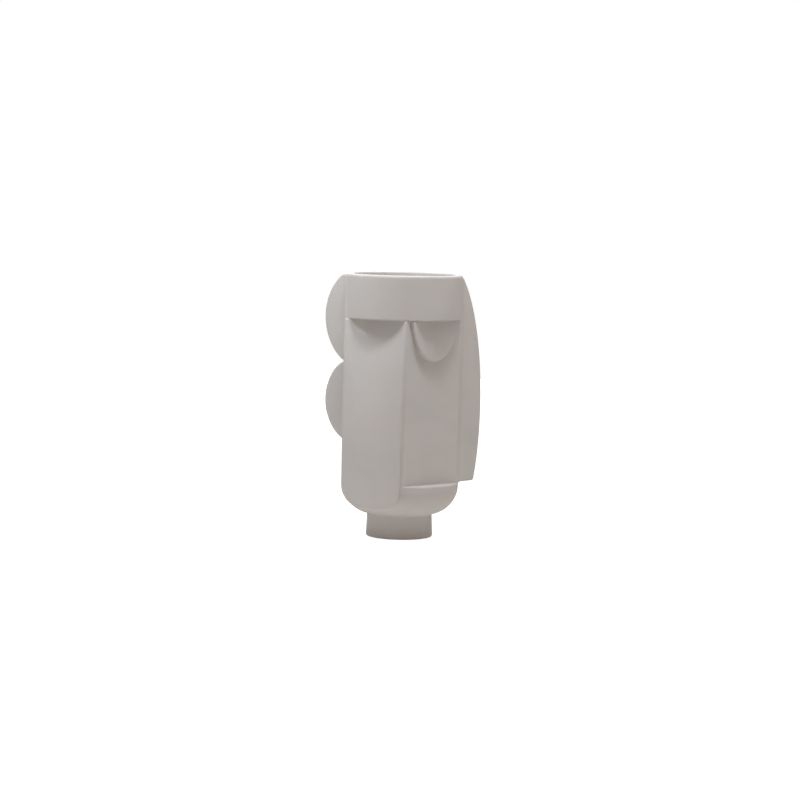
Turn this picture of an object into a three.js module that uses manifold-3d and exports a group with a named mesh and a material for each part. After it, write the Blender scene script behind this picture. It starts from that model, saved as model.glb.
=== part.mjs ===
// A slab-built ceramic vase whose round body is cut and dressed into an abstract head.
// Each clay piece is its own solid, and neighbours keep the thin joint of slip that bonds them.
// The foot's centre on the table is the origin, +Z is up and the face looks along -Y.

import * as THREE from 'three';
import { mergeVertices } from 'three/addons/utils/BufferGeometryUtils.js';
import Module from 'manifold-3d';

const wasm = await Module();
wasm.setup();

// Driving dimensions: lengths in millimetres, turns in degrees from straight ahead, right positive.

// Vessel
const height = 300;
const bodyRadius = 66.5;
const wall = 8;
const slip = 0.3;
const lipRound = 2.6;
const browHeight = 249.4;
const chinHeight = 63.7;
const shelfThickness = 7;
const bowlRound = 33.4;

// Foot
const footHeight = 26.6;
const footRadius = 37.2;
const footFlare = 1;
const footEdge = 2.5;
const floorThickness = 8;

// Flat right cheek, a slab that closes a straight cut through the round wall
const rightCheekTurn = 40;
const rightCheekSpan = 74;
const rightCheekThickness = 9;

// Left cheek, a slab that is straight under the brow and bent round the chin, and ends at the nose ridge
const leftCheekTurn = -33;
const leftCheekSpan = 70;
const leftCheekThickness = 9;
const leftCheekCurve = 111;
const leftCheekBentBelow = 105;
const leftCheekEase = 1.4;
const leftCheekProud = 0.4;
const leftCheekBack = 20;
const leftCheekBottom = 37.8;
const leftCheekCorner = 24;
const noseProud = 4.8;
const noseTurn = -8;
const noseStep = 0.8;
const ridgeCorner = 18.3;
const ridgeTop = 4.5;
const ridgeFoot = -0.7;

// Right eyelid, a half-oval pad on the flat cheek
const lidThickness = 4.9;
const lidShift = -1.3;
const lidHalfWidth = 34.8;
const lidDrop = 44.8;

// Plates of hair: one long fin on the right and two round lobes on the left
const plateThickness = 9;
const plateEdge = 2;
const finRoot = 86;
const finTurn = 47;
const finReach = 36.8;
const finCrown = 151.3;
const finHalfDepth = 61.7;
const finCorner = 3;
const lobeRoot = -90;
const lobeTurn = 42;
const upperLobeRadius = 58.2;
const upperLobeReach = 32.3;
const upperLobeDrop = 49.9;
const lowerLobeRadius = 49.5;
const lowerLobeReach = 30.4;
const lobeOverlap = 2.5;
const lobeTopDrop = 1.2;

// Facets
const roundSteps = 60;
const arcSteps = 5;
const edgeSteps = 2;
const cheekSteps = 10;
const slabSteps = 16;
const slabLevels = 8;
const plateSteps = 30;

// Values that follow from the driving dimensions
const boreRadius = bodyRadius - wall;
const cheekFace = bodyRadius * Math.cos(radians(rightCheekSpan / 2));
const cheekBack = cheekFace - rightCheekThickness;
const floorRadius = bodyRadius - bowlRound;
const bowlCentre = footHeight + bowlRound;
const wallBottom = chinHeight + slip;
const wallTop = browHeight - slip;
const leftCheekFace = bodyRadius * Math.cos(radians(leftCheekSpan / 2));
const leftCheekSeat = leftCheekFace - leftCheekThickness;
const noseMitre = (rightCheekTurn + leftCheekTurn) / 2;
const noseShift = (cheekFace - leftCheekFace) / (2 * Math.sin(radians((rightCheekTurn - leftCheekTurn) / 2)));
const leftSeatSlope = (bodyRadius - leftCheekSeat) / (browHeight - leftCheekBentBelow);
const leftCheekSide = bodyRadius + leftCheekProud;
const leftCheekAxis = new THREE.Vector2(ridgeFoot, -bodyRadius - noseProud)
  .addScaledVector(facing(noseTurn), -leftCheekCurve);
const wellRadius = footRadius - wall;
const plateBury = bodyRadius / 2;
const upperLobeCentre = height - upperLobeDrop;
const lobeNotch = upperLobeCentre - lobeRise(upperLobeRadius, upperLobeReach) + lobeOverlap / 2;
const lowerLobeCentre = lobeNotch + lobeOverlap / 2 - lobeRise(lowerLobeRadius, lowerLobeReach);

// A length that takes every cut clear of the vase
const clear = 2 * bodyRadius;

function radians(degrees) {
  return THREE.MathUtils.degToRad(degrees);
}

// The way that a surface looks when it is turned from straight ahead
function facing(turn) {
  return new THREE.Vector2(Math.sin(radians(turn)), -Math.cos(radians(turn)));
}

// How far the left cheek's front lies from the vase's axis, by the way that it faces, at a sideways shift
// and a height: the bend lower down eases into the straight face under the brow
function reachOfLeftCheek(shift, level) {
  const aside = shift - leftCheekAxis.dot(facing(leftCheekTurn + 90));
  const bent = leftCheekAxis.dot(facing(leftCheekTurn)) + Math.sqrt(leftCheekCurve ** 2 - aside ** 2);
  const share = (level - leftCheekBentBelow) / (browHeight - leftCheekBentBelow);
  const straightness = THREE.MathUtils.clamp(share, 0, 1) ** leftCheekEase;
  return THREE.MathUtils.lerp(bent, leftCheekFace, straightness);
}

// How far above or below its centre a lobe's edge meets the wall
function lobeRise(radius, reach) {
  return Math.sqrt(radius ** 2 - (radius - reach) ** 2);
}

// A closed solid for cutting and joining, from a geometry with its shared corners merged
function solid(geometry) {
  const bare = geometry.clone();
  bare.deleteAttribute('normal');
  bare.deleteAttribute('uv');
  const merged = mergeVertices(bare, 1e-4);
  const corners = merged.index.array;
  const triangles = [];
  for (let i = 0; i < corners.length; i += 3) {
    const [a, b, c] = [corners[i], corners[i + 1], corners[i + 2]];
    if (a !== b && b !== c && c !== a) triangles.push(a, b, c);
  }
  return new wasm.Manifold(new wasm.Mesh({
    numProp: 3,
    vertProperties: new Float32Array(merged.attributes.position.array),
    triVerts: new Uint32Array(triangles),
  }));
}

function outline(points) {
  return new THREE.Shape(points.map(([x, y]) => new THREE.Vector2(x, y)));
}

// A solid of revolution about +Z, from an outline in radius and height that touches or clears the axis
function revolve(shape, steps = arcSteps) {
  const points = shape.getPoints(steps);
  if (points[0].distanceTo(points[points.length - 1]) > 1e-6) points.push(points[0].clone());
  if (THREE.ShapeUtils.isClockWise(points)) points.reverse();
  const geometry = new THREE.LatheGeometry(points, roundSteps);
  return solid(geometry.rotateX(Math.PI / 2));
}

function column(radius, bottom, top) {
  return revolve(outline([[0, bottom], [radius, bottom], [radius, top], [0, top]]));
}

// A plan outline raised from one height to another
function raise(shape, bottom, top, steps = arcSteps) {
  const geometry = new THREE.ExtrudeGeometry(shape, {
    depth: top - bottom, bevelEnabled: false, curveSegments: steps,
  });
  return solid(geometry.translate(0, 0, bottom));
}

// An upright outline in (sideways, height) that becomes a slab between two distances from the
// vase's axis, both measured along the way that the slab faces
function upright(shape, turn, near, far, steps = arcSteps) {
  const geometry = new THREE.ExtrudeGeometry(shape, {
    depth: far - near, bevelEnabled: false, curveSegments: steps,
  });
  geometry.rotateX(Math.PI / 2).translate(0, -near, 0).rotateZ(radians(turn));
  return solid(geometry);
}

// The block of space that lies past a flat upright cut
function pastCut(turn, distance, bottom, top) {
  const block = outline([[-clear, bottom], [clear, bottom], [clear, top], [-clear, top]]);
  return upright(block, turn, distance, clear);
}

// The block of space in front of the left cheek
function pastLeftCheek() {
  const half = bodyRadius;
  const levels = [0];
  for (let j = 0; j <= slabLevels; j++) {
    levels.push(THREE.MathUtils.lerp(leftCheekBentBelow, browHeight, j / slabLevels));
  }
  levels.push(height);
  const corners = [];
  for (const level of levels) {
    for (let i = 0; i <= slabSteps; i++) {
      const shift = THREE.MathUtils.lerp(-half, half, i / slabSteps);
      corners.push(shift, -reachOfLeftCheek(shift, level), level);
      corners.push(shift, -clear, level);
    }
  }
  const row = 2 * (slabSteps + 1);
  const triangles = [];
  const quad = (a, b, c, d) => triangles.push(a, b, c, a, c, d);
  for (let j = 0; j + 1 < levels.length; j++) {
    for (let i = 0; i < slabSteps; i++) {
      const near = j * row + 2 * i;
      const far = near + 1;
      quad(near, near + row, near + row + 2, near + 2);
      quad(far, far + 2, far + row + 2, far + row);
    }
    const first = j * row;
    const last = first + row - 2;
    quad(first, first + 1, first + row + 1, first + row);
    quad(last, last + row, last + row + 1, last + 1);
  }
  const top = (levels.length - 1) * row;
  for (let i = 0; i < slabSteps; i++) {
    const low = 2 * i;
    const high = top + low;
    quad(low, low + 2, low + 3, low + 1);
    quad(high, high + 1, high + 3, high + 2);
  }
  const geometry = new THREE.BufferGeometry();
  geometry.setAttribute('position', new THREE.Float32BufferAttribute(corners, 3));
  geometry.setIndex(triangles);
  return solid(geometry.rotateZ(radians(leftCheekTurn)));
}

// The block of space in front of the left cheek's leaning seat in the wall, moved back by a joint
function pastLeftSeat(back) {
  const reach = (level) => leftCheekSeat + leftSeatSlope * (browHeight - level) - back;
  const side = outline([[reach(0), 0], [clear, 0], [clear, height], [reach(height), height]]);
  const geometry = new THREE.ExtrudeGeometry(side, { depth: 2 * clear, bevelEnabled: false });
  geometry.rotateX(Math.PI / 2).translate(0, clear, 0).rotateZ(radians(leftCheekTurn - 90));
  return solid(geometry);
}

// The vessel's round form above the foot: its outside, or grown by a joint or shrunk by the wall
function roundForm(grow) {
  const shape = new THREE.Shape();
  shape.moveTo(0, footHeight - grow);
  shape.lineTo(floorRadius, footHeight - grow);
  shape.absarc(floorRadius, bowlCentre, bowlRound + grow, -Math.PI / 2, 0, false);
  shape.lineTo(bodyRadius + grow, height + clear);
  shape.lineTo(0, height + clear);
  return revolve(shape);
}

// Foot: a closed cup that carries the bowl, flared a little towards its rounded bottom edge
function makeFoot() {
  const top = footHeight - slip;
  const bottomRadius = footRadius + footFlare;
  const shape = new THREE.Shape();
  shape.moveTo(0, 0);
  shape.lineTo(bottomRadius - footEdge, 0);
  shape.absarc(bottomRadius - footEdge, footEdge, footEdge, -Math.PI / 2, 0, false);
  shape.lineTo(footRadius, top);
  shape.lineTo(wellRadius, top);
  shape.lineTo(wellRadius, floorThickness);
  shape.lineTo(0, floorThickness);
  return revolve(shape, edgeSteps);
}

// Chin bowl: the rounded lower body, open to the foot's well
function makeChinBowl() {
  return roundForm(0)
    .intersect(column(clear, 0, chinHeight))
    .subtract(roundForm(-wall))
    .subtract(column(wellRadius, 0, height));
}

// Chin ledge: a slab inside the bowl's mouth that carries the flat cheek and shows in front of it
function makeChinLedge() {
  return roundForm(-wall - slip)
    .intersect(pastCut(rightCheekTurn, cheekBack, chinHeight - shelfThickness, chinHeight));
}

// Body wall: a thrown tube with a straight cut for the flat cheek and a leaning one for the left cheek
function makeBodyWall() {
  const tube = revolve(outline([
    [boreRadius, wallBottom], [bodyRadius, wallBottom], [bodyRadius, wallTop], [boreRadius, wallTop],
  ]));
  const rightSeat = pastCut(rightCheekTurn, cheekBack - slip, 0, height)
    .intersect(pastCut(noseMitre + 90, noseShift - slip / 2, 0, height));
  return tube.subtract(rightSeat).subtract(pastLeftSeat(slip));
}

// Brow band: the forehead and the rim with its rounded lip
function makeBrowBand() {
  const shape = new THREE.Shape();
  shape.moveTo(boreRadius, browHeight);
  shape.lineTo(bodyRadius, browHeight);
  shape.lineTo(bodyRadius, height - lipRound);
  shape.absarc(bodyRadius - lipRound, height - lipRound, lipRound, 0, Math.PI / 2, false);
  shape.lineTo(boreRadius + lipRound, height);
  shape.absarc(boreRadius + lipRound, height - lipRound, lipRound, Math.PI / 2, Math.PI, false);
  return revolve(shape, edgeSteps);
}

// Brow shelf: a slab inside the brow band that roofs the space over both cheeks
function makeBrowShelf() {
  const overRightCheek = pastCut(rightCheekTurn, cheekBack, 0, height);
  const overLeftCheek = pastCut(leftCheekTurn, leftCheekSeat, 0, height);
  return column(boreRadius - slip, browHeight, browHeight + shelfThickness)
    .intersect(overRightCheek.add(overLeftCheek));
}

// Right cheek: a flat slab, cut to the round outside at its far end and mitred at the nose
function makeRightCheek() {
  return column(bodyRadius, wallBottom, wallTop)
    .intersect(pastCut(rightCheekTurn, cheekBack, 0, height))
    .intersect(pastCut(noseMitre + 90, noseShift + slip / 2, 0, height))
    .subtract(pastCut(rightCheekTurn, cheekFace, 0, height))
    .subtract(pastLeftCheek());
}

// Right eyelid: a half-oval pad whose ends run into the round outside
function makeRightLid() {
  const shape = new THREE.Shape();
  shape.absellipse(lidShift, wallTop, lidHalfWidth, lidDrop, Math.PI, 2 * Math.PI, false);
  return upright(shape, rightCheekTurn, cheekFace + slip, cheekFace + lidThickness, cheekSteps)
    .intersect(column(bodyRadius, chinHeight, height));
}

// The left cheek seen from the front: a tongue with round lower corners and a leaning right edge
function leftCheekFront() {
  const outer = { x: leftCheekCorner - leftCheekSide, y: leftCheekBottom + leftCheekCorner };
  const inner = { x: ridgeFoot - ridgeCorner, y: leftCheekBottom + ridgeCorner };
  const front = new THREE.Shape();
  front.moveTo(ridgeTop, wallTop);
  front.lineTo(-leftCheekSide, wallTop);
  front.absarc(outer.x, outer.y, leftCheekCorner, Math.PI, 1.5 * Math.PI, false);
  front.lineTo(inner.x, leftCheekBottom);
  front.absarc(inner.x, inner.y, ridgeCorner, 1.5 * Math.PI, 2 * Math.PI, false);
  return front;
}

// Left cheek: a slab seated in the wall under the brow and laid over it lower down, whose right edge is
// cut along the flat cheek to make the nose ridge
function makeLeftCheek() {
  const window = pastLeftSeat(0)
    .intersect(column(clear, wallBottom, wallTop))
    .intersect(pastCut(noseMitre - 90, slip / 2 - noseShift, 0, height));
  return upright(leftCheekFront(), 0, leftCheekBack, bodyRadius + 2 * noseProud)
    .subtract(pastLeftCheek())
    .subtract(pastCut(rightCheekTurn, cheekFace + noseStep, 0, height))
    .subtract(roundForm(slip).subtract(window));
}

// A flat plate of hair with eased edges, rooted on the wall and leaning back from it
function plate(shape, root, turn, side) {
  const geometry = new THREE.ExtrudeGeometry(shape, {
    depth: plateThickness - 2 * plateEdge,
    bevelThickness: plateEdge,
    bevelSize: plateEdge,
    bevelOffset: -plateEdge,
    bevelSegments: edgeSteps,
    curveSegments: plateSteps,
  });
  const start = facing(root).multiplyScalar(bodyRadius);
  geometry.translate(0, 0, plateEdge - (side > 0 ? plateThickness : 0));
  geometry.rotateX(Math.PI / 2).rotateZ(side > 0 ? radians(turn) : Math.PI - radians(turn));
  geometry.translate(start.x, start.y, 0);
  return solid(geometry).subtract(column(bodyRadius + slip, -clear, height + clear));
}

// Fin: a long bow from the rim's right end down to a square foot level with the chin ledge
function makeFin() {
  const middle = finReach - finHalfDepth;
  const halfHeight = (height - finCrown) / Math.sqrt(1 - (middle / finHalfDepth) ** 2);
  const footSine = (chinHeight + finCorner - finCrown) / halfHeight;
  const footOut = middle + finHalfDepth * Math.sqrt(1 - footSine ** 2);
  const shape = new THREE.Shape();
  shape.moveTo(-plateBury, chinHeight);
  shape.lineTo(footOut - finCorner, chinHeight);
  shape.quadraticCurveTo(footOut, chinHeight, footOut, chinHeight + finCorner);
  shape.absellipse(middle, finCrown, finHalfDepth, halfHeight, Math.asin(footSine), Math.PI / 2, false);
  shape.lineTo(-plateBury, finCrown + halfHeight);
  return plate(shape, finRoot, finTurn, 1).intersect(column(clear, 0, height - lipRound));
}

// Lobe: a round plate, kept between two heights so that neighbours meet at the notch
function makeLobe(radius, reach, centre, bottom, top) {
  const middle = reach - radius;
  const sweep = Math.acos((-plateBury - middle) / radius);
  const shape = new THREE.Shape();
  shape.absarc(middle, centre, radius, -sweep, sweep, false);
  return plate(shape, lobeRoot, lobeTurn, -1).intersect(column(clear, bottom, top));
}

function makeUpperLobe() {
  const bottom = lobeNotch + slip / 2;
  return makeLobe(upperLobeRadius, upperLobeReach, upperLobeCentre, bottom, height - lobeTopDrop);
}

function makeLowerLobe() {
  return makeLobe(lowerLobeRadius, lowerLobeReach, lowerLobeCentre, 0, lobeNotch - slip / 2);
}

// Matt bone-white stoneware
const stoneware = new THREE.MeshStandardMaterial({ color: 0xc6c1b9, roughness: 0.85, metalness: 0 });

function piece(name, body) {
  const mesh = body.getMesh();
  const geometry = new THREE.BufferGeometry();
  geometry.setAttribute('position', new THREE.BufferAttribute(mesh.vertProperties, mesh.numProp));
  geometry.setIndex(new THREE.BufferAttribute(mesh.triVerts, 1));
  geometry.computeVertexNormals();
  const result = new THREE.Mesh(geometry, stoneware.clone());
  result.name = name;
  return result;
}

const vessel = new THREE.Group();
vessel.add(piece('foot', makeFoot()));
vessel.add(piece('chin_bowl', makeChinBowl()));
vessel.add(piece('chin_ledge', makeChinLedge()));
vessel.add(piece('body_wall', makeBodyWall()));
vessel.add(piece('brow_shelf', makeBrowShelf()));
vessel.add(piece('brow_band', makeBrowBand()));

const face = new THREE.Group();
face.add(piece('left_cheek', makeLeftCheek()));
face.add(piece('right_cheek', makeRightCheek()));
face.add(piece('right_eyelid', makeRightLid()));

const hair = new THREE.Group();
hair.add(piece('side_fin', makeFin()));
hair.add(piece('upper_lobe', makeUpperLobe()));
hair.add(piece('lower_lobe', makeLowerLobe()));

const vase = new THREE.Group();
vase.name = 'head_vase';
vase.add(vessel, face, hair);

export default vase;
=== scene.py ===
import math

import bpy
from mathutils import Matrix, Vector


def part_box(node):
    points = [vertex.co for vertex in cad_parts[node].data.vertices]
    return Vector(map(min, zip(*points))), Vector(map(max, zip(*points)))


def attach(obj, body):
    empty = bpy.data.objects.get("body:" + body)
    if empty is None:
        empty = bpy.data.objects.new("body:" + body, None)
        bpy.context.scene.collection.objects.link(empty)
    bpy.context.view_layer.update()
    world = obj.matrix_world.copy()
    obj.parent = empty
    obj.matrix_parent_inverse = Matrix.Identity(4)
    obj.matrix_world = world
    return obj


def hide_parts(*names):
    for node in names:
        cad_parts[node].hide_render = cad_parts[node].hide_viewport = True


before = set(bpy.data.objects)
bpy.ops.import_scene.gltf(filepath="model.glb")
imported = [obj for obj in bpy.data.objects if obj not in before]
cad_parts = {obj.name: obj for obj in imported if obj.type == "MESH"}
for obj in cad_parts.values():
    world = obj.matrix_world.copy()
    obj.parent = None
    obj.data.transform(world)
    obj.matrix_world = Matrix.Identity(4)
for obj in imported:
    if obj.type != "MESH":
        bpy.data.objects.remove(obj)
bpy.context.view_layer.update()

bl_info = {
    "name": "Head vase",
    "version": (1, 0, 0),
    "blender": (4, 5, 0),
    "location": "View3D > Sidebar > Vase",
    "description": "Builds a slab-built stoneware vase in the shape of an abstract head",
    "category": "Add Mesh",
}

BAND_LOW, BAND_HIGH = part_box("brow_band")
BOWL_LOW, BOWL_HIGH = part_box("chin_bowl")

MATH = "ShaderNodeMath"
VECTOR = "ShaderNodeVectorMath"
TURN = "ShaderNodeVectorRotate"

# A blend this many times as wide as a radius eases an edge to about that radius.
EASE = 1.76
# Where two pieces would share a surface, one is kept this far under the other.
TUCK = 0.0001
# A piece that is luted on reaches this far into the clay behind it.
BURY = 0.0015
# Edges that turn by more than this stay sharp in the shading.
CRISP = math.radians(50)
# Over 1, this keeps more of the left cheek's bend until close under the brow.
BEND_EASE = 1.4
# Ripples in a metre of sponged clay.
RIPPLES = 26.0


def length(label, note, default):
    """A length setting, in metres."""
    return bpy.props.FloatProperty(
        name=label, description=note, default=default, unit="LENGTH", precision=4)


def angle(label, note, degrees):
    """An angle setting, given in degrees."""
    return bpy.props.FloatProperty(
        name=label, description=note, default=math.radians(degrees), subtype="ANGLE")


def linear(code):
    """Turns an sRGB hex colour into linear red, green, blue and alpha."""
    parts = [int(code[i:i + 2], 16) / 255 for i in (0, 2, 4)]
    return [c / 12.92 if c <= 0.04045 else ((c + 0.055) / 1.055) ** 2.4 for c in parts] + [1.0]


def colour(label, note, code):
    """A colour setting, given as an sRGB hex code."""
    return bpy.props.FloatVectorProperty(
        name=label, description=note, default=linear(code), size=4, min=0, max=1, subtype="COLOR")


class VesselSizes(bpy.types.PropertyGroup):
    """Sizes of the round body, from the bowl to the rim."""
    height: length("Height", "From the table to the rim", BAND_HIGH.z)
    body_radius: length("Body radius", "Outside of the round wall", BAND_HIGH.x)
    wall: length("Wall", "Thickness of the round wall", 0.008)
    lip_round: length("Lip round", "Radius on the rim's outer edge", 0.0026)
    lip_inside: length("Lip inside", "Radius on the rim's inner edge", 0.0009)
    brow_height: length("Brow height", "From the table to the brow's lower edge", BAND_LOW.z)
    chin_height: length("Chin height", "From the table to the top of the chin ledge", BOWL_HIGH.z)
    shelf: length("Shelf", "Thickness of the brow shelf and the chin ledge", 0.007)
    bowl_bottom: length("Bowl bottom", "From the table to the underside of the bowl", BOWL_LOW.z)
    bowl_round: length("Bowl round", "Radius of the bowl's outer corner", 0.0334)
    edge: length("Edge", "Radius on the edges of the cuts", 0.0011)
    fillet: length("Fillet", "Smoothed clay in the corners of the cuts", 0.0008)


class FootSizes(bpy.types.PropertyGroup):
    """Sizes of the foot."""
    radius: length("Radius", "At the top of the foot", 0.0372)
    flare: length("Flare", "How much wider the foot is at the table", 0.0010)
    edge: length("Edge", "Radius on the bottom edge", 0.0025)
    floor: length("Floor", "Thickness of the floor inside", 0.008)
    fillet: length("Fillet", "Smoothed clay where the foot meets the bowl", 0.0020)


class RightCheekSizes(bpy.types.PropertyGroup):
    """Sizes of the flat right cheek and the eyelid on it."""
    turn: angle("Turn", "How far the cheek faces to the right of straight ahead", 40)
    span: angle("Span", "Part of the round body that the straight cut takes", 74)
    thickness: length("Thickness", "Of the flat slab", 0.009)
    lid_thickness: length("Lid thickness", "How far the eyelid stands out from the cheek", 0.0049)
    lid_shift: length("Lid shift", "Of the lid's middle along the slab", -0.0010)
    lid_half_width: length("Lid half width", "Half the width of the lid's oval", 0.0323)
    lid_drop: length("Lid drop", "From the brow to the lid's lowest point", 0.0455)
    lid_edge: length("Lid edge", "Radius on the lid's edge", 0.0009)


class LeftCheekSizes(bpy.types.PropertyGroup):
    """Sizes of the left cheek, a slab that is straight under the brow and bent round the chin."""
    turn: angle("Turn", "The way that the slab faces", -33)
    span: angle("Span", "Part of the round body that the slab cuts off under the brow", 70)
    curve: length("Curve", "Radius of the bend", 0.111)
    bent_below: length("Bent below", "Height under which the slab has its full bend", 0.105)
    proud: length("Proud", "How far the left edge stands out from the round body", 0.0004)
    back: length("Back", "How far in front of the axis the slab's back edge is", 0.020)
    bottom: length("Bottom", "From the table to the bottom edge", 0.0378)
    corner: length("Corner", "Radius of the bottom left corner", 0.024)
    nose_proud: length("Nose proud", "How far the bent slab's right edge stands out", 0.0048)
    nose_turn: angle("Nose turn", "The way that the bent slab faces at its right edge", -8)
    nose_step: length("Nose step", "How far the nose's side stands over the flat cheek", 0.0006)
    ridge_corner: length("Ridge corner", "Radius of the corner under the nose", 0.0183)
    ridge_top: length("Ridge top", "Of the right edge from the axis, at the brow", 0.0045)
    ridge_foot: length("Ridge foot", "Of the right edge from the axis, at its foot", -0.0007)
    left_edge: length("Left edge", "Radius along the left edge", 0.0018)
    edge: length("Edge", "Radius along the nose and the bottom edge", 0.0012)


class PlateSizes(bpy.types.PropertyGroup):
    """Sizes of the three side plates."""
    thickness: length("Thickness", "Of each plate", 0.009)
    edge: length("Edge", "Radius on the plates' edges", 0.002)
    fillet: length("Fillet", "Smoothed clay where a plate meets the wall", 0.0022)
    fin_root: angle("Fin root", "Where the fin leaves the wall", 86)
    fin_turn: angle("Fin turn", "How far the fin leans back", 47)
    fin_reach: length("Fin reach", "From the wall to the fin's widest point", 0.0368)
    fin_crown: length("Fin crown", "Height of the fin's widest point", 0.1513)
    fin_half_depth: length("Fin half depth", "Half the depth of the fin's oval", 0.0617)
    lobe_root: angle("Lobe root", "Where the lobes leave the wall", -90)
    lobe_turn: angle("Lobe turn", "How far the lobes lean back", 42)
    upper_radius: length("Upper radius", "Of the upper lobe", 0.0582)
    upper_reach: length("Upper reach", "From the wall to the upper lobe's edge", 0.0323)
    upper_drop: length("Upper drop", "From the rim to the upper lobe's middle", 0.0499)
    lower_radius: length("Lower radius", "Of the lower lobe", 0.0495)
    lower_reach: length("Lower reach", "From the wall to the lower lobe's edge", 0.0304)
    overlap: length("Overlap", "Of the lobes where they meet", 0.0025)


class ClayLook(bpy.types.PropertyGroup):
    """Colours and grain of the fired clay."""
    bone: colour("Bone", "The clay's main colour", "D0CCC8")
    ash: colour("Ash", "Cooler patches from the kiln", "CCC9C6")
    sand: colour("Sand", "Warmer patches from the kiln", "CFC9C4")
    grit: length("Grit", "Size of the grains in the surface", 0.0007)
    patch: length("Patch", "Size of the kiln's soft colour patches", 0.045)
    waver: length("Waver", "How far a hand-smoothed surface strays", 0.00012)


class VaseSettings(bpy.types.PropertyGroup):
    """All settings of the vase."""
    vessel: bpy.props.PointerProperty(type=VesselSizes)
    foot: bpy.props.PointerProperty(type=FootSizes)
    right_cheek: bpy.props.PointerProperty(type=RightCheekSizes)
    left_cheek: bpy.props.PointerProperty(type=LeftCheekSizes)
    plates: bpy.props.PointerProperty(type=PlateSizes)
    clay: bpy.props.PointerProperty(type=ClayLook)


def add(tree, kind, *values, inputs=None, **settings):
    """Adds a node, sets it up, and fills or links its inputs, in order or by name.
    Gives back its first output."""
    node = tree.nodes.new(kind)
    for name, value in settings.items():
        setattr(node, name, value)
    pairs = list(zip([socket for socket in node.inputs if socket.enabled], values))
    pairs += [(node.inputs[name], value) for name, value in (inputs or {}).items()]
    for socket, value in pairs:
        if isinstance(value, bpy.types.NodeSocket):
            tree.links.new(value, socket)
        elif value is not None:
            socket.default_value = value
    return next((socket for socket in node.outputs if socket.enabled), None)


def facing(turn):
    """The way that a surface looks when it is turned from straight ahead."""
    return Vector((math.sin(turn), -math.cos(turn)))


def stoneware(look):
    """Matt bisque stoneware, sponged smooth and fired without a glaze: chalky and dull all over,
    with a fine tooth of grit that catches the light, and soft patches a little cooler or warmer
    than the rest."""
    material = bpy.data.materials.get("matt_bisque_stoneware")
    if material:
        return material
    material = bpy.data.materials.new("matt_bisque_stoneware")
    material.use_nodes = True
    tree = material.node_tree
    tree.nodes.clear()
    place = add(tree, "ShaderNodeTexCoord").node.outputs["Object"]

    # The kiln's patches: cooler ones first, then warmer ones in other places
    away = (0.31, 0.17, 0.23)
    elsewhere = add(tree, "ShaderNodeMapping", place, away)
    patchy = (0.45, 0.7)
    tone = look.bone
    for spot, detail, tint in ((place, 2.0, look.ash), (elsewhere, 3.0, look.sand)):
        share = add(tree, "ShaderNodeTexNoise",
                    inputs={"Vector": spot, "Scale": 1 / look.patch, "Detail": detail})
        share = add(tree, "ShaderNodeMapRange", share, *patchy, 0.0, 1.0)
        tone = add(tree, "ShaderNodeMixRGB", share, tone, tint)

    # The grit of fired clay is about 0.1 to 0.3 mm, too fine to show here, so it is drawn coarser.
    grit = add(tree, "ShaderNodeTexNoise",
               inputs={"Vector": place, "Scale": 1 / look.grit, "Detail": 3.0})
    grainy = (0.3, 0.7)
    dusty = (0.97, 1.02)
    dull = (0.94, 0.82)
    tooth = 0.00012
    dust = add(tree, "ShaderNodeMapRange", grit, *grainy, *dusty)
    tone = add(tree, "ShaderNodeMixRGB", 1.0, tone, dust, blend_type="MULTIPLY")
    rough = add(tree, "ShaderNodeMapRange", grit, *grainy, *dull)
    bump = add(tree, "ShaderNodeBump",
               inputs={"Strength": 0.35, "Distance": tooth, "Height": grit})
    shader = add(tree, "ShaderNodeBsdfPrincipled", inputs={
        "Base Color": tone,
        "Roughness": rough,
        "Normal": bump,
        "IOR": 1.5,
        "Diffuse Roughness": 0.35,
    })
    add(tree, "ShaderNodeOutputMaterial", shader)
    return material


def room(low, high, grid):
    """The box that a clay field fills, and how many steps it takes along each side."""
    steps = [math.ceil((b - a) / grid) + 1 for a, b in zip(low, high)]
    return {
        "Low corner": Vector(low),
        "High corner": Vector(high),
        "Steps X": steps[0],
        "Steps Y": steps[1],
        "Steps Z": steps[2],
    }


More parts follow.
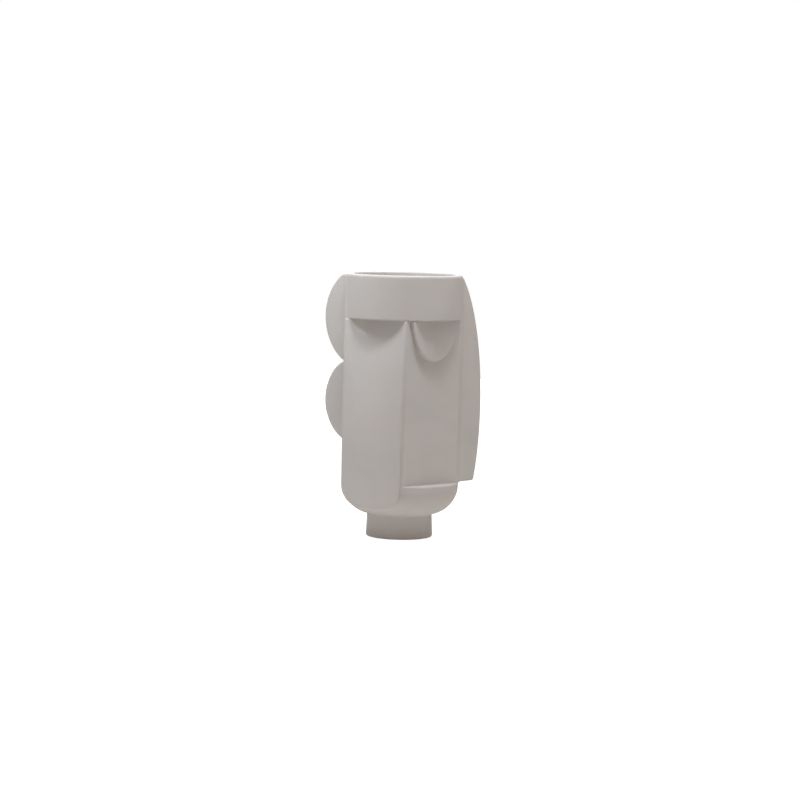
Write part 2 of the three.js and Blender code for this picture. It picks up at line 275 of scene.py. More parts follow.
def clay_tree(name, sizes, shape, material, trimmed=False):
    """Builds a Geometry Nodes tree that meshes the skin of a clay shape. The shape is a field:
    each point's distance from the skin, below zero inside the clay. The tree fills a box with it,
    meshes where it is zero, and moves the mesh's points the rest of the way onto the skin."""
    tree = bpy.data.node_groups.new(name, "GeometryNodeTree")
    for label, value in sizes.items():
        kind = "NodeSocketVector"
        if isinstance(value, int):
            kind = "NodeSocketInt"
        elif isinstance(value, float):
            kind = "NodeSocketFloat"
        tree.interface.new_socket(label, in_out="INPUT", socket_type=kind)
    tree.interface.new_socket("Geometry", in_out="OUTPUT", socket_type="NodeSocketGeometry")
    size = tree.nodes.new("NodeGroupInput").outputs
    field = shape(tree, size)
    depth = add(tree, MATH, field, -1.0, operation="MULTIPLY")
    empty = -1.0
    block = add(tree, "GeometryNodeVolumeCube", depth, empty,
                size["Low corner"], size["High corner"],
                size["Steps X"], size["Steps Y"], size["Steps Z"])
    skin = add(tree, "GeometryNodeVolumeToMesh", block, 0.0, 0.0)
    normal = add(tree, "GeometryNodeInputNormal")
    onto_skin = add(tree, VECTOR, normal, depth, operation="SCALE")
    skin = add(tree, "GeometryNodeSetPosition", skin, None, None, onto_skin)
    skin = add(tree, "GeometryNodeSetPosition", skin, None, None, onto_skin)

    # A sponge leaves the surface very slightly wavy, and only takes clay away.
    place = add(tree, "GeometryNodeInputPosition")
    wave = add(tree, "ShaderNodeTexNoise",
               inputs={"Vector": place, "Scale": RIPPLES, "Detail": 1.0})
    wave = add(tree, MATH, wave, 1.0, operation="SUBTRACT")
    wave = add(tree, MATH, wave, size["Waver"], operation="MULTIPLY")
    wave = add(tree, VECTOR, normal, wave, operation="SCALE")
    skin = add(tree, "GeometryNodeSetPosition", skin, None, None, wave)

    if trimmed:
        # Only what lies in a box, turned with the flat cheek, is kept.
        extent = add(tree, VECTOR, size["Trim high"], size["Trim low"], operation="SUBTRACT")
        middle = add(tree, VECTOR, size["Trim high"], size["Trim low"], operation="ADD")
        middle = add(tree, VECTOR, middle, 0.5, operation="SCALE")
        keep = add(tree, "GeometryNodeMeshCube", extent)
        keep = add(tree, "GeometryNodeTransform", keep, middle)
        turn = add(tree, "ShaderNodeCombineXYZ", 0.0, 0.0, size["Cheek turn"])
        keep = add(tree, "GeometryNodeTransform", keep, None, turn)
        part = add(tree, "GeometryNodeMeshBoolean", operation="INTERSECT", solver="MANIFOLD")
        tree.links.new(skin, part.node.inputs["Mesh 2"])
        tree.links.new(keep, part.node.inputs["Mesh 2"])
        skin = part

    skin = add(tree, "GeometryNodeSetShadeSmooth", skin)
    bend = add(tree, "GeometryNodeInputMeshEdgeAngle")
    crisp = add(tree, MATH, bend, CRISP, operation="GREATER_THAN")
    skin = add(tree, "GeometryNodeSetShadeSmooth", skin, crisp, False, domain="EDGE")
    skin = add(tree, "GeometryNodeRealizeInstances", skin)
    skin = add(tree, "GeometryNodeSetMaterial", skin, None, material)
    add(tree, "NodeGroupOutput", skin)
    return tree


def fire(name, tree, sizes, *nodes):
    """Makes one piece from a clay tree as a plain mesh that stands for its nodes of the frame."""
    piece = bpy.data.objects.new(name, bpy.data.meshes.new(name))
    bpy.context.scene.collection.objects.link(piece)
    modifier = piece.modifiers.new("Clay", "NODES")
    modifier.node_group = tree
    for item in tree.interface.items_tree:
        if item.in_out == "INPUT":
            modifier[item.identifier] = sizes[item.name]
    graph = bpy.context.evaluated_depsgraph_get()
    mesh = bpy.data.meshes.new_from_object(piece.evaluated_get(graph))
    if not mesh.polygons:
        raise RuntimeError(f"{name} came out empty")
    piece.modifiers.remove(modifier)
    piece.data = mesh
    mesh.name = name
    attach(piece, "root")
    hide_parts(*nodes)


def rounded_corner(tree, across, down, radius):
    """Adds the field of a rounded corner, from how far a point is past the corner's centre."""
    past = add(tree, "ShaderNodeCombineXYZ", across, down, 0.0)
    past = add(tree, VECTOR, past, (0, 0, 0), operation="MAXIMUM")
    past = add(tree, VECTOR, past, operation="LENGTH")
    return add(tree, MATH, past, radius, operation="SUBTRACT")


def oval(tree, along, up, half_width, half_height):
    """Adds the field of an oval about the point where both distances are nought."""
    across = add(tree, MATH, along, half_width, operation="DIVIDE")
    upward = add(tree, MATH, up, half_height, operation="DIVIDE")
    scaled = add(tree, "ShaderNodeCombineXYZ", across, upward, 0.0)
    reach = add(tree, VECTOR, scaled, operation="LENGTH")
    across = add(tree, MATH, across, half_width, operation="DIVIDE")
    upward = add(tree, MATH, upward, half_height, operation="DIVIDE")
    steep = add(tree, "ShaderNodeCombineXYZ", across, upward, 0.0)
    steep = add(tree, VECTOR, steep, operation="LENGTH")
    past = add(tree, MATH, reach, 1.0, operation="SUBTRACT")
    past = add(tree, MATH, past, reach, operation="MULTIPLY")
    return add(tree, MATH, past, steep, operation="DIVIDE")


def round_sizes(settings):
    """Inputs for the round body's outside."""
    vessel = settings.vessel
    return {
        "Floor radius": vessel.body_radius - vessel.bowl_round,
        "Bowl centre": vessel.bowl_bottom + vessel.bowl_round,
        "Bowl round": vessel.bowl_round,
        "Waver": 2 * settings.clay.waver,
    }


def round_body(tree, size):
    """Adds the round body's field.
    Gives back the point, its height, its distance from the axis and that field."""
    point = add(tree, "GeometryNodeInputPosition")
    height = add(tree, "ShaderNodeSeparateXYZ", point).node.outputs["Z"]
    flat = add(tree, VECTOR, point, (1, 1, 0), operation="MULTIPLY")
    radius = add(tree, VECTOR, flat, operation="LENGTH")
    past_floor = add(tree, MATH, radius, size["Floor radius"], operation="SUBTRACT")
    below_wall = add(tree, MATH, size["Bowl centre"], height, operation="SUBTRACT")
    outside = rounded_corner(tree, past_floor, below_wall, size["Bowl round"])
    return point, height, radius, outside


def turned_point(tree, point, turn):
    """Adds the point as it is seen square on from a turned side: across, behind the axis and up."""
    turned = add(tree, TURN, point, (0, 0, 0), turn, rotation_type="Z_AXIS", invert=True)
    return add(tree, "ShaderNodeSeparateXYZ", turned).node.outputs


def left_cheek_sizes(settings):
    """Inputs for the left cheek's front, straight under the brow and bent lower down."""
    cheek = settings.left_cheek
    radius = settings.vessel.body_radius
    nose = Vector((cheek.ridge_foot, -radius - cheek.nose_proud))
    axis = nose - cheek.curve * facing(cheek.nose_turn)
    return {
        "Left turn": cheek.turn,
        "Left face": radius * math.cos(cheek.span / 2),
        "Bend": cheek.curve,
        "Bend aside": axis.dot(facing(cheek.turn + math.pi / 2)),
        "Bend ahead": axis.dot(facing(cheek.turn)),
        "Bent below": cheek.bent_below,
        "Brow height": settings.vessel.brow_height,
    }


def left_cheek_front(tree, size, point, height):
    """Adds the field of the left cheek's front.
    Its bend eases into the straight face on the way up to the brow."""
    aside, behind, _ = turned_point(tree, point, size["Left turn"])
    aside = add(tree, MATH, aside, size["Bend aside"], operation="SUBTRACT")
    aside = add(tree, MATH, aside, 2.0, operation="POWER")
    bent = add(tree, MATH, size["Bend"], 2.0, operation="POWER")
    bent = add(tree, MATH, bent, aside, operation="SUBTRACT")
    bent = add(tree, MATH, bent, operation="SQRT")
    bent = add(tree, MATH, bent, size["Bend ahead"], operation="ADD")
    share = add(tree, "ShaderNodeMapRange", height,
                size["Bent below"], size["Brow height"], 0.0, 1.0)
    share = add(tree, MATH, share, BEND_EASE, operation="POWER")
    change = add(tree, MATH, size["Left face"], bent, operation="SUBTRACT")
    reach = add(tree, MATH, change, share, bent, operation="MULTIPLY_ADD")
    front = add(tree, MATH, behind, reach, operation="ADD")
    return add(tree, MATH, front, -1.0, operation="MULTIPLY")


def before_flat_cheek(tree, size, point, face):
    """Adds how far a point lies before a plane that faces the way that the flat cheek does."""
    _, behind, _ = turned_point(tree, point, size["Cheek turn"])
    ahead = add(tree, MATH, behind, -1.0, operation="MULTIPLY")
    return add(tree, MATH, ahead, face, operation="SUBTRACT")


def luted(tree, size, piece, height, outside):
    """Adds the smoothed fillet of slip round a piece that is luted to the round body.
    Trims the piece's hidden root."""
    wall = add(tree, MATH, outside, TUCK, operation="ADD")
    over = add(tree, MATH, height, size["Fillet top"], operation="SUBTRACT")
    wall = add(tree, MATH, wall, over, operation="MAXIMUM")
    joined = add(tree, MATH, piece, wall, size["Fillet"], operation="SMOOTH_MIN")
    skirt = add(tree, MATH, piece, size["Fillet"], operation="SUBTRACT")
    joined = add(tree, MATH, joined, skirt, operation="MAXIMUM")
    root = add(tree, MATH, outside, size["Bury"], operation="ADD")
    root = add(tree, MATH, root, -1.0, operation="MULTIPLY")
    return add(tree, MATH, joined, root, operation="MAXIMUM")


def vessel_shape(tree, size):
    """The turned wall with both cheeks cut off under the brow.
    The flat slab, what backs the left one, the shelf and the ledge are let in there."""
    point, height, radius, outside = round_body(tree, size)
    half_wall = add(tree, MATH, size["Wall"], 0.5, operation="MULTIPLY")
    clay = add(tree, MATH, outside, half_wall, operation="ADD")
    clay = add(tree, MATH, clay, operation="ABSOLUTE")
    clay = add(tree, MATH, clay, half_wall, operation="SUBTRACT")

    # Clay that fills the body out to both cheeks, with the shelf over it and the ledge under it
    right = before_flat_cheek(tree, size, point, size["Cheek face"])
    left = left_cheek_front(tree, size, point, height)
    fill = add(tree, MATH, left, right, operation="MAXIMUM")
    fill = add(tree, MATH, fill, size["Slab"], operation="ADD")
    fill = add(tree, MATH, fill, -1.0, operation="MULTIPLY")
    over_shelf = add(tree, MATH, height, size["Shelf top"], operation="SUBTRACT")
    under_ledge = add(tree, MATH, size["Ledge bottom"], height, operation="SUBTRACT")
    fill = add(tree, MATH, fill, over_shelf, operation="MAXIMUM")
    fill = add(tree, MATH, fill, under_ledge, operation="MAXIMUM")
    clay = add(tree, MATH, clay, fill, size["Inside fillet"], operation="SMOOTH_MIN")
    clay = add(tree, MATH, clay, outside, operation="MAXIMUM")

    # What is cut away up to the brow: all before the flat cheek, down to the ledge, and all
    # before the left cheek
    cut = add(tree, MATH, right, -1.0, operation="MULTIPLY")
    over_ledge = add(tree, MATH, size["Chin height"], height, operation="SUBTRACT")
    cut = add(tree, MATH, cut, over_ledge, size["Fillet"], operation="SMOOTH_MAX")
    left = add(tree, MATH, left, -1.0, -TUCK, operation="MULTIPLY_ADD")
    cut = add(tree, MATH, cut, left, operation="MINIMUM")
    under_brow = add(tree, MATH, height, size["Brow height"], operation="SUBTRACT")
    cut = add(tree, MATH, cut, under_brow, size["Fillet"], operation="SMOOTH_MAX")
    cut = add(tree, MATH, cut, -1.0, operation="MULTIPLY")
    clay = add(tree, MATH, clay, cut, size["Edge"], operation="SMOOTH_MAX")

    # The rim's lip, rounder outside than inside, and the opening into the hollow foot
    over_rim = add(tree, MATH, height, size["Height"], operation="SUBTRACT")
    clay = add(tree, MATH, clay, over_rim, size["Lip inside"], operation="SMOOTH_MAX")
    lip = add(tree, MATH, outside, over_rim, size["Lip"], operation="SMOOTH_MAX")
    clay = add(tree, MATH, clay, lip, operation="MAXIMUM")
    in_well = add(tree, MATH, size["Well radius"], radius, operation="SUBTRACT")
    return add(tree, MATH, clay, in_well, size["Lip"], operation="SMOOTH_MAX")


class VASE_OT_vessel(bpy.types.Operator):
    """Builds the bowl, wall, flat cheek and brow band as one form, parted at their joints"""
    bl_idname = "head_vase.vessel"
    bl_label = "Vessel"

    def execute(self, context):
        settings = context.scene.head_vase
        vessel = settings.vessel
        cheek = settings.right_cheek
        cheek_face = vessel.body_radius * math.cos(cheek.span / 2)
        cheek_back = cheek_face - cheek.thickness
        inside_fillet = 0.002
        sizes = {
            **round_sizes(settings),
            **left_cheek_sizes(settings),
            "Height": vessel.height,
            "Wall": vessel.wall,
            "Lip": EASE * vessel.lip_round,
            "Lip inside": EASE * vessel.lip_inside,
            "Edge": EASE * vessel.edge,
            "Fillet": EASE * vessel.fillet,
            "Inside fillet": EASE * inside_fillet,
            "Chin height": vessel.chin_height,
            "Shelf top": vessel.brow_height + vessel.shelf,
            "Ledge bottom": vessel.chin_height - vessel.shelf,
            "Well radius": settings.foot.radius - vessel.wall,
            "Cheek turn": cheek.turn,
            "Cheek face": cheek_face,
            "Slab": cheek.thickness,
        }

        # The grid is fine where edges and fillets show, and coarse on the plain wall.
        fine = 0.0009
        coarse = 0.0013
        # Each piece's box reaches a little past it, and its trim well past it where nothing parts.
        margin = 0.003
        side_margin = 0.002
        out = vessel.body_radius + side_margin
        slab_left = -0.024
        slab_back = 0.018
        wide = 0.2
        # The pieces part just past the fillets at the brow and the ledge, and behind the flat slab.
        past_fillet = 0.0012
        behind_slab = 0.0005
        brow_joint = vessel.brow_height - past_fillet
        chin_joint = vessel.chin_height + past_fillet
        parting = behind_slab - cheek_back
        # Each piece: its box and grid, its trim's corners in the flat cheek's turn, and its nodes
        pieces = {
            "chin_bowl": (
                room((-out, -out, vessel.bowl_bottom - margin),
                     (out, out, chin_joint + margin), fine),
                (-wide, -wide, -wide), (wide, wide, chin_joint), ("chin_bowl", "chin_ledge")),
            "body_wall": (
                room((-out, -out, chin_joint - margin),
                     (out, out, brow_joint + margin), coarse),
                (-wide, parting, chin_joint), (wide, wide, brow_joint), ("body_wall",)),
            "right_cheek": (
                room((slab_left, -out, chin_joint - margin),
                     (out, slab_back, brow_joint + margin), fine),
                (-wide, -wide, chin_joint), (wide, parting, brow_joint), ("right_cheek",)),
            "brow_band": (
                room((-out, -out, brow_joint - margin),
                     (out, out, vessel.height + margin), fine),
                (-wide, -wide, brow_joint), (wide, wide, 2 * wide), ("brow_band", "brow_shelf")),
        }
        material = stoneware(settings.clay)
        tree = None
        for name, (box, low, high, nodes) in pieces.items():
            inputs = {**sizes, **box, "Trim low": Vector(low), "Trim high": Vector(high)}
            if tree is None:
                tree = clay_tree("Turned vessel", inputs, vessel_shape, material, trimmed=True)
            fire(name, tree, inputs, *nodes)
        return {"FINISHED"}


def foot_shape(tree, size):
    """A turned cup that widens a little to the table, with an eased bottom edge."""
    _, height, radius, outside = round_body(tree, size)
    widen = add(tree, "ShaderNodeMapRange", height,
                0.0, size["Foot height"], size["Foot bottom"], size["Foot top"])
    clay = add(tree, MATH, radius, widen, operation="SUBTRACT")
    under = add(tree, MATH, height, -1.0, operation="MULTIPLY")
    clay = add(tree, MATH, clay, under, size["Edge"], operation="SMOOTH_MAX")
    over = add(tree, MATH, height, size["Foot height"], operation="SUBTRACT")
    over = add(tree, MATH, over, size["Bury"], operation="SUBTRACT")
    clay = add(tree, MATH, clay, over, operation="MAXIMUM")
    clay = luted(tree, size, clay, height, outside)
    in_well = add(tree, MATH, size["Well radius"], radius, operation="SUBTRACT")
    on_floor = add(tree, MATH, height, size["Floor"], operation="SUBTRACT")
    well = add(tree, MATH, in_well, on_floor, size["Edge"], operation="SMOOTH_MIN")
    return add(tree, MATH, clay, well, size["Edge"], operation="SMOOTH_MAX")


class VASE_OT_foot(bpy.types.Operator):
    """Builds the foot, a hollow turned cup"""
    bl_idname = "head_vase.foot"
    bl_label = "Foot"

    def execute(self, context):
        settings = context.scene.head_vase
        vessel = settings.vessel
        foot = settings.foot
        bottom = foot.radius + foot.flare
        fillet_room = 0.006
        below = 0.003
        grid = 0.0007
        out = bottom + fillet_room
        sizes = {
            **round_sizes(settings),
            **room((-out, -out, -below), (out, out, vessel.bowl_bottom + fillet_room), grid),
            "Foot height": vessel.bowl_bottom,
            "Foot bottom": bottom,
            "Foot top": foot.radius,
            "Well radius": foot.radius - vessel.wall,
            "Floor": foot.floor,
            "Edge": EASE * foot.edge,
            "Fillet": EASE * foot.fillet,
            "Fillet top": vessel.height,
            "Bury": BURY,
        }
        tree = clay_tree("Turned foot", sizes, foot_shape, stoneware(settings.clay))
        fire("foot", tree, sizes, "foot")
        return {"FINISHED"}


def left_cheek_shape(tree, size):
    """A slab over the left of the face, with rounded bottom corners.
    It is cut along the nose to stand just over the flat cheek."""
    point, height, _, outside = round_body(tree, size)
    sideways, depth, _ = add(tree, "ShaderNodeSeparateXYZ", point).node.outputs
    front = left_cheek_front(tree, size, point, height)

    # The left side and its bottom corner
    left = add(tree, MATH, size["Corner"], size["Side"], operation="SUBTRACT")
    left = add(tree, MATH, left, sideways, operation="SUBTRACT")
    low = add(tree, MATH, size["Bottom"], size["Corner"], operation="ADD")
    low = add(tree, MATH, low, height, operation="SUBTRACT")
    left = rounded_corner(tree, left, low, size["Corner"])

    # The right edge and its bottom corner, and the nose's side, cut along the flat cheek
    low = add(tree, MATH, size["Bottom"], size["Ridge corner"], operation="ADD")
    low = add(tree, MATH, low, height, operation="SUBTRACT")
    lean = add(tree, MATH, low, 0.0, operation="MINIMUM")
    ridge = add(tree, MATH, lean, size["Ridge lean"], sideways, operation="MULTIPLY_ADD")
    ridge = add(tree, MATH, ridge, size["Ridge foot"], operation="SUBTRACT")
    ridge = add(tree, MATH, ridge, size["Ridge corner"], operation="ADD")
    ridge = rounded_corner(tree, ridge, low, size["Ridge corner"])
    nose = before_flat_cheek(tree, size, point, size["Nose face"])

    # The edge's radius along the left side changes to the other one by the end of the corner.
    outline = add(tree, MATH, left, ridge, operation="MAXIMUM")
    outline = add(tree, MATH, outline, nose, operation="MAXIMUM")
    near_left = add(tree, MATH, sideways, size["Side"], operation="ADD")
    side_strip = 0.004
    ease = add(tree, "ShaderNodeMapRange", near_left,
               side_strip, size["Corner"], size["Left edge"], size["Edge"])
    clay = add(tree, MATH, front, outline, ease, operation="SMOOTH_MAX")
    over = add(tree, MATH, height, size["Brow height"], operation="SUBTRACT")
    clay = add(tree, MATH, clay, over, size["Edge"], operation="SMOOTH_MAX")
    behind = add(tree, MATH, depth, size["Back"], operation="ADD")
    clay = add(tree, MATH, clay, behind, size["Left edge"], operation="SMOOTH_MAX")

    # It reaches a little into the clay behind it.
    behind = add(tree, MATH, front, outside, operation="MAXIMUM")
    behind = add(tree, MATH, behind, size["Bury"], operation="ADD")
    behind = add(tree, MATH, behind, -1.0, operation="MULTIPLY")
    return add(tree, MATH, clay, behind, operation="MAXIMUM")


class VASE_OT_left_cheek(bpy.types.Operator):
    """Builds the bent slab of the left cheek, whose right edge is the nose"""
    bl_idname = "head_vase.left_cheek"
    bl_label = "Left cheek"

    def execute(self, context):
        settings = context.scene.head_vase
        vessel = settings.vessel
        cheek = settings.left_cheek
        right = settings.right_cheek
        side = vessel.body_radius + cheek.proud
        nose = vessel.body_radius + cheek.nose_proud
        ridge_height = vessel.brow_height - cheek.bottom - cheek.ridge_corner
        margin = 0.003
        side_margin = 0.002
        past_nose = 0.009
        grid = 0.0008
        sizes = {
            **round_sizes(settings),
            **left_cheek_sizes(settings),
            **room((-side - side_margin, -nose - margin, cheek.bottom - margin),
                   (past_nose, side_margin - cheek.back, vessel.brow_height + margin), grid),
            "Side": side,
            "Back": cheek.back,
            "Bottom": cheek.bottom,
            "Corner": cheek.corner,
            "Ridge corner": cheek.ridge_corner,
            "Ridge foot": cheek.ridge_foot,
            "Ridge lean": (cheek.ridge_top - cheek.ridge_foot) / ridge_height,
            "Cheek turn": right.turn,
            "Nose face": vessel.body_radius * math.cos(right.span / 2) + cheek.nose_step,
            "Left edge": EASE * cheek.left_edge,
            "Edge": EASE * cheek.edge,
            "Bury": BURY,
        }
        tree = clay_tree("Bent cheek slab", sizes, left_cheek_shape, stoneware(settings.clay))
        fire("left_cheek", tree, sizes, "left_cheek")
        return {"FINISHED"}


def eyelid_shape(tree, size):
    """A half-oval pad on the flat cheek, of even thickness, whose ends run into the round body."""
    point, height, _, outside = round_body(tree, size)
    along, behind, _ = turned_point(tree, point, size["Cheek turn"])
    along = add(tree, MATH, along, size["Shift"], operation="SUBTRACT")
    ahead = add(tree, MATH, behind, -1.0, operation="MULTIPLY")
    up = add(tree, MATH, height, size["Brow height"], operation="SUBTRACT")
    clay = oval(tree, along, up, size["Half width"], size["Drop"])
    front = add(tree, MATH, ahead, size["Lid face"], operation="SUBTRACT")
    clay = add(tree, MATH, clay, front, size["Edge"], operation="SMOOTH_MAX")
    clay = add(tree, MATH, clay, outside, size["Edge"], operation="SMOOTH_MAX")
    root = add(tree, MATH, size["Root"], ahead, operation="SUBTRACT")
    clay = add(tree, MATH, clay, root, operation="MAXIMUM")
    return add(tree, MATH, clay, up, operation="MAXIMUM")


class VASE_OT_eyelid(bpy.types.Operator):
    """Builds the raised right eyelid"""
    bl_idname = "head_vase.eyelid"
    bl_label = "Right eyelid"

    def execute(self, context):
        settings = context.scene.head_vase
        vessel = settings.vessel
        cheek = settings.right_cheek
        cheek_face = vessel.body_radius * math.cos(cheek.span / 2)
        low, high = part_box("right_eyelid")
        spare = Vector((0.006, 0.006, 0.003))
        grid = 0.0005
        root_depth = 0.001
        sizes = {
            **round_sizes(settings),
            **room(low - spare, high + spare, grid),
            "Cheek turn": cheek.turn,
            "Shift": cheek.lid_shift,
            "Half width": cheek.lid_half_width,
            "Drop": cheek.lid_drop,
            "Brow height": vessel.brow_height,
            "Lid face": cheek_face + cheek.lid_thickness,
            "Root": cheek_face - root_depth,
            "Edge": EASE * cheek.lid_edge,
        }
        tree = clay_tree("Raised eyelid", sizes, eyelid_shape, stoneware(settings.clay))
        fire("right_eyelid", tree, sizes, "right_eyelid")
        return {"FINISHED"}


def plate_shape(tree, size):
    """A flat plate with an oval outline and eased edges, luted to the wall and leaning back."""
    point, height, _, outside = round_body(tree, size)
    from_start = add(tree, VECTOR, point, size["Start"], operation="SUBTRACT")
    along = add(tree, VECTOR, from_start, size["Along"], operation="DOT_PRODUCT")
    along = add(tree, MATH, along, size["Middle"], operation="SUBTRACT")
    up = add(tree, MATH, height, size["Centre height"], operation="SUBTRACT")
    clay = oval(tree, along, up, size["Half depth"], size["Half height"])
    half = add(tree, MATH, size["Thickness"], 0.5, operation="MULTIPLY")
    faces = add(tree, VECTOR, from_start, size["Back"], operation="DOT_PRODUCT")
    faces = add(tree, MATH, faces, half, operation="SUBTRACT")
    faces = add(tree, MATH, faces, operation="ABSOLUTE")
    faces = add(tree, MATH, faces, half, operation="SUBTRACT")
    clay = add(tree, MATH, clay, faces, size["Edge"], operation="SMOOTH_MAX")
    under = add(tree, MATH, size["Bottom"], height, operation="SUBTRACT")
    clay = add(tree, MATH, clay, under, size["Edge"], operation="SMOOTH_MAX")
    over = add(tree, MATH, height, size["Top"], operation="SUBTRACT")
    clay = add(tree, MATH, clay, over, size["Edge"], operation="SMOOTH_MAX")
    return luted(tree, size, clay, height, outside)


class VASE_OT_plates(bpy.types.Operator):
    """Builds the long fin on the right and the two round lobes on the left"""
    bl_idname = "head_vase.plates"
    bl_label = "Side plates"

    def execute(self, context):
        settings = context.scene.head_vase
        vessel = settings.vessel
        plates = settings.plates

        def rise(radius, reach):
            """How far above or below its middle a lobe's edge meets the wall."""
            return math.sqrt(radius ** 2 - (radius - reach) ** 2)

        upper_centre = vessel.height - plates.upper_drop
        upper_foot = upper_centre - rise(plates.upper_radius, plates.upper_reach)
        notch = upper_foot + plates.overlap / 2
        lower_top = notch + plates.overlap / 2
        lower_centre = lower_top - rise(plates.lower_radius, plates.lower_reach)
        fin_middle = plates.fin_reach - plates.fin_half_depth
        fin_share = math.sqrt(1 - (fin_middle / plates.fin_half_depth) ** 2)
        lobe_way = math.pi - plates.lobe_turn
        lip_bottom = vessel.height - vessel.lip_round
        below_rim = 0.0012
        below_lip = 0.001
        # Each plate: where it leaves the wall, the way it points, which side its back is on, and
        # its outline
        outlines = {
            "side_fin": (plates.fin_root, plates.fin_turn, 1, {
                "Middle": fin_middle,
                "Centre height": plates.fin_crown,
                "Half depth": plates.fin_half_depth,
                "Half height": (vessel.height - plates.fin_crown) / fin_share,
                "Bottom": vessel.chin_height,
                "Top": lip_bottom,
            }),
            "upper_lobe": (plates.lobe_root, lobe_way, -1, {
                "Middle": plates.upper_reach - plates.upper_radius,
                "Centre height": upper_centre,
                "Half depth": plates.upper_radius,
                "Half height": plates.upper_radius,
                "Bottom": notch,
                "Top": vessel.height - below_rim,
            }),
            "lower_lobe": (plates.lobe_root, lobe_way, -1, {
                "Middle": plates.lower_reach - plates.lower_radius,
                "Centre height": lower_centre,
                "Half depth": plates.lower_radius,
                "Half height": plates.lower_radius,
                "Bottom": 0.0,
                "Top": notch,
            }),
        }
        spare = Vector((0.006, 0.006, 0.004))
        grid = 0.0008
        material = stoneware(settings.clay)
        tree = None
        for name, (root, way, side, outline) in outlines.items():
            low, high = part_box(name)
            sizes = {
                **round_sizes(settings),
                **room(low - spare, high + spare, grid),
                **outline,
                "Start": (facing(root) * vessel.body_radius).to_3d(),
                "Along": Vector((math.cos(way), math.sin(way), 0)),
                "Back": side * Vector((-math.sin(way), math.cos(way), 0)),
                "Thickness": plates.thickness,
                "Edge": EASE * plates.edge,
                "Fillet": EASE * plates.fillet,
                "Fillet top": lip_bottom - below_lip,
                "Bury": BURY,
            }
            if tree is None:
                tree = clay_tree("Side plate", sizes, plate_shape, material)
            fire(name, tree, sizes, name)
        return {"FINISHED"}


def seen_directly(tree):
    """Adds a value that is 1 for what is seen straight on, in a mirror or through glass, and
    otherwise 0."""
    ray = add(tree, "ShaderNodeLightPath").node.outputs
    direct = add(tree, MATH, ray["Is Camera Ray"], ray["Is Glossy Ray"], operation="MAXIMUM")
    return add(tree, MATH, direct, ray["Is Transmission Ray"], operation="MAXIMUM")


def lamp(name, place, size, watts, tint):
    """Adds a square soft box that points at the middle of the face."""
    middle = Vector((0, 0, 0.22))
    data = bpy.data.lights.new(name, "AREA")
    data.size = size
    data.energy = watts
    data.color = linear(tint)[:3]
    obj = bpy.data.objects.new(name, data)
    obj.location = place
    obj.rotation_euler = (middle - obj.location).to_track_quat("-Z", "Y").to_euler()
    obj.visible_camera = False
    bpy.context.scene.collection.objects.link(obj)


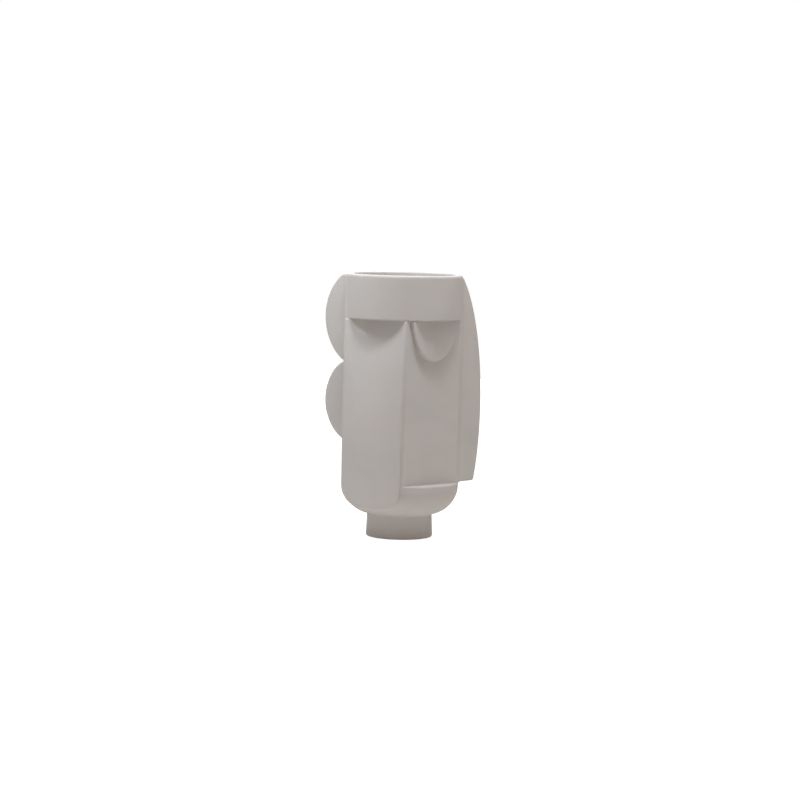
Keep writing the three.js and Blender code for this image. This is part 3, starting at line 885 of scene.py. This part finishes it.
class VASE_OT_stage(bpy.types.Operator):
    """Sets up the pale floor, the soft light and the camera"""
    bl_idname = "head_vase.stage"
    bl_label = "Stage"

    def execute(self, context):
        scene = context.scene
        scene.view_settings.view_transform = "Standard"
        white = (1, 1, 1, 1)

        # White paper: plain to the eye, and it still takes the vase's shadow.
        paper = bpy.data.materials.new("white_paper_floor")
        paper.use_nodes = True
        tree = paper.node_tree
        tree.nodes.clear()
        paper_lift = 0.85
        glow = add(tree, MATH, seen_directly(tree), paper_lift, operation="MULTIPLY")
        sheet = add(tree, "ShaderNodeBsdfDiffuse", linear("F8F4EF"))
        lift = add(tree, "ShaderNodeEmission", white, glow)
        both = add(tree, "ShaderNodeAddShader", sheet, lift)
        add(tree, "ShaderNodeOutputMaterial", both)

        mesh = bpy.data.meshes.new("floor")
        reach = 12.0
        corners = [(-reach, -reach, 0), (reach, -reach, 0), (reach, reach, 0), (-reach, reach, 0)]
        mesh.from_pydata(corners, [], [(0, 1, 2, 3)])
        mesh.materials.append(paper)
        floor = bpy.data.objects.new("floor", mesh)
        under_foot = 0.0002
        floor.location.z = -under_foot
        scene.collection.objects.link(floor)

        # A white studio that gives only a little light of its own
        world = bpy.data.worlds.new("white_studio")
        world.use_nodes = True
        tree = world.node_tree
        tree.nodes.clear()
        studio_light = 0.22
        soft = add(tree, "ShaderNodeBackground", linear("FFF9F3"), studio_light)
        backdrop = add(tree, "ShaderNodeBackground", white, 1.0)
        mixed = add(tree, "ShaderNodeMixShader", seen_directly(tree), soft, backdrop)
        add(tree, "ShaderNodeOutputWorld", mixed)
        scene.world = world

        # Small soft boxes with cool light hang close over the vase, and big weak ones fill in all
        # round. Each has its place, its width in metres, its watts and its tint.
        cool = "F5F9FF"
        warm = "FFE9DA"
        lamp("overhead", (0.02, -0.24, 0.91), 0.12, 3.75, cool)
        lamp("over_left", (-0.24, -0.075, 0.59), 0.12, 0.92, cool)
        lamp("over_right", (0.214, -0.124, 0.59), 0.1, 0.28, cool)
        lamp("fill_left", (-2.0, -0.4, 0.5), 1.5, 5.0, cool)
        lamp("fill_right", (1.5, -1.6, 0.8), 1.5, 3.8, warm)
        lamp("fill_back", (0.3, 2.2, 0.7), 1.5, 11.0, cool)

        # The photograph's lens, place, tilt and slight roll
        data = bpy.data.cameras.new("camera")
        data.sensor_width = 36
        data.lens = 110.3
        camera = bpy.data.objects.new("camera", data)
        down = 4.92
        tilt = math.radians(90 - down)
        roll = math.radians(1.25)
        place = Matrix.Translation((-0.0021, -2.787, 0.3959))
        camera.matrix_world = place @ Matrix.Rotation(tilt, 4, "X") @ Matrix.Rotation(roll, 4, "Z")
        scene.collection.objects.link(camera)
        scene.camera = camera
        return {"FINISHED"}


class VASE_PT_panel(bpy.types.Panel):
    """Lists the vase's settings and the steps that build it"""
    bl_idname = "VASE_PT_panel"
    bl_label = "Head vase"
    bl_space_type = "VIEW_3D"
    bl_region_type = "UI"
    bl_category = "Vase"

    def draw(self, context):
        settings = context.scene.head_vase
        for group in settings.__annotations__:
            box = self.layout.box()
            box.label(text=group.replace("_", " ").capitalize())
            for name in getattr(settings, group).__annotations__:
                box.prop(getattr(settings, group), name)
        for step in STEPS:
            self.layout.operator(step.bl_idname)


GROUPS = (VesselSizes, FootSizes, RightCheekSizes, LeftCheekSizes, PlateSizes, ClayLook)
STEPS = (VASE_OT_foot, VASE_OT_vessel, VASE_OT_left_cheek, VASE_OT_eyelid, VASE_OT_plates,
         VASE_OT_stage)
CLASSES = GROUPS + (VaseSettings,) + STEPS + (VASE_PT_panel,)


def register():
    for cls in CLASSES:
        bpy.utils.register_class(cls)
    bpy.types.Scene.head_vase = bpy.props.PointerProperty(type=VaseSettings)


def unregister():
    del bpy.types.Scene.head_vase
    for cls in reversed(CLASSES):
        bpy.utils.unregister_class(cls)


def main():
    register()
    bpy.ops.head_vase.foot()
    bpy.ops.head_vase.vessel()
    bpy.ops.head_vase.left_cheek()
    bpy.ops.head_vase.eyelid()
    bpy.ops.head_vase.plates()
    bpy.ops.head_vase.stage()


if __name__ == "__main__":
    main()
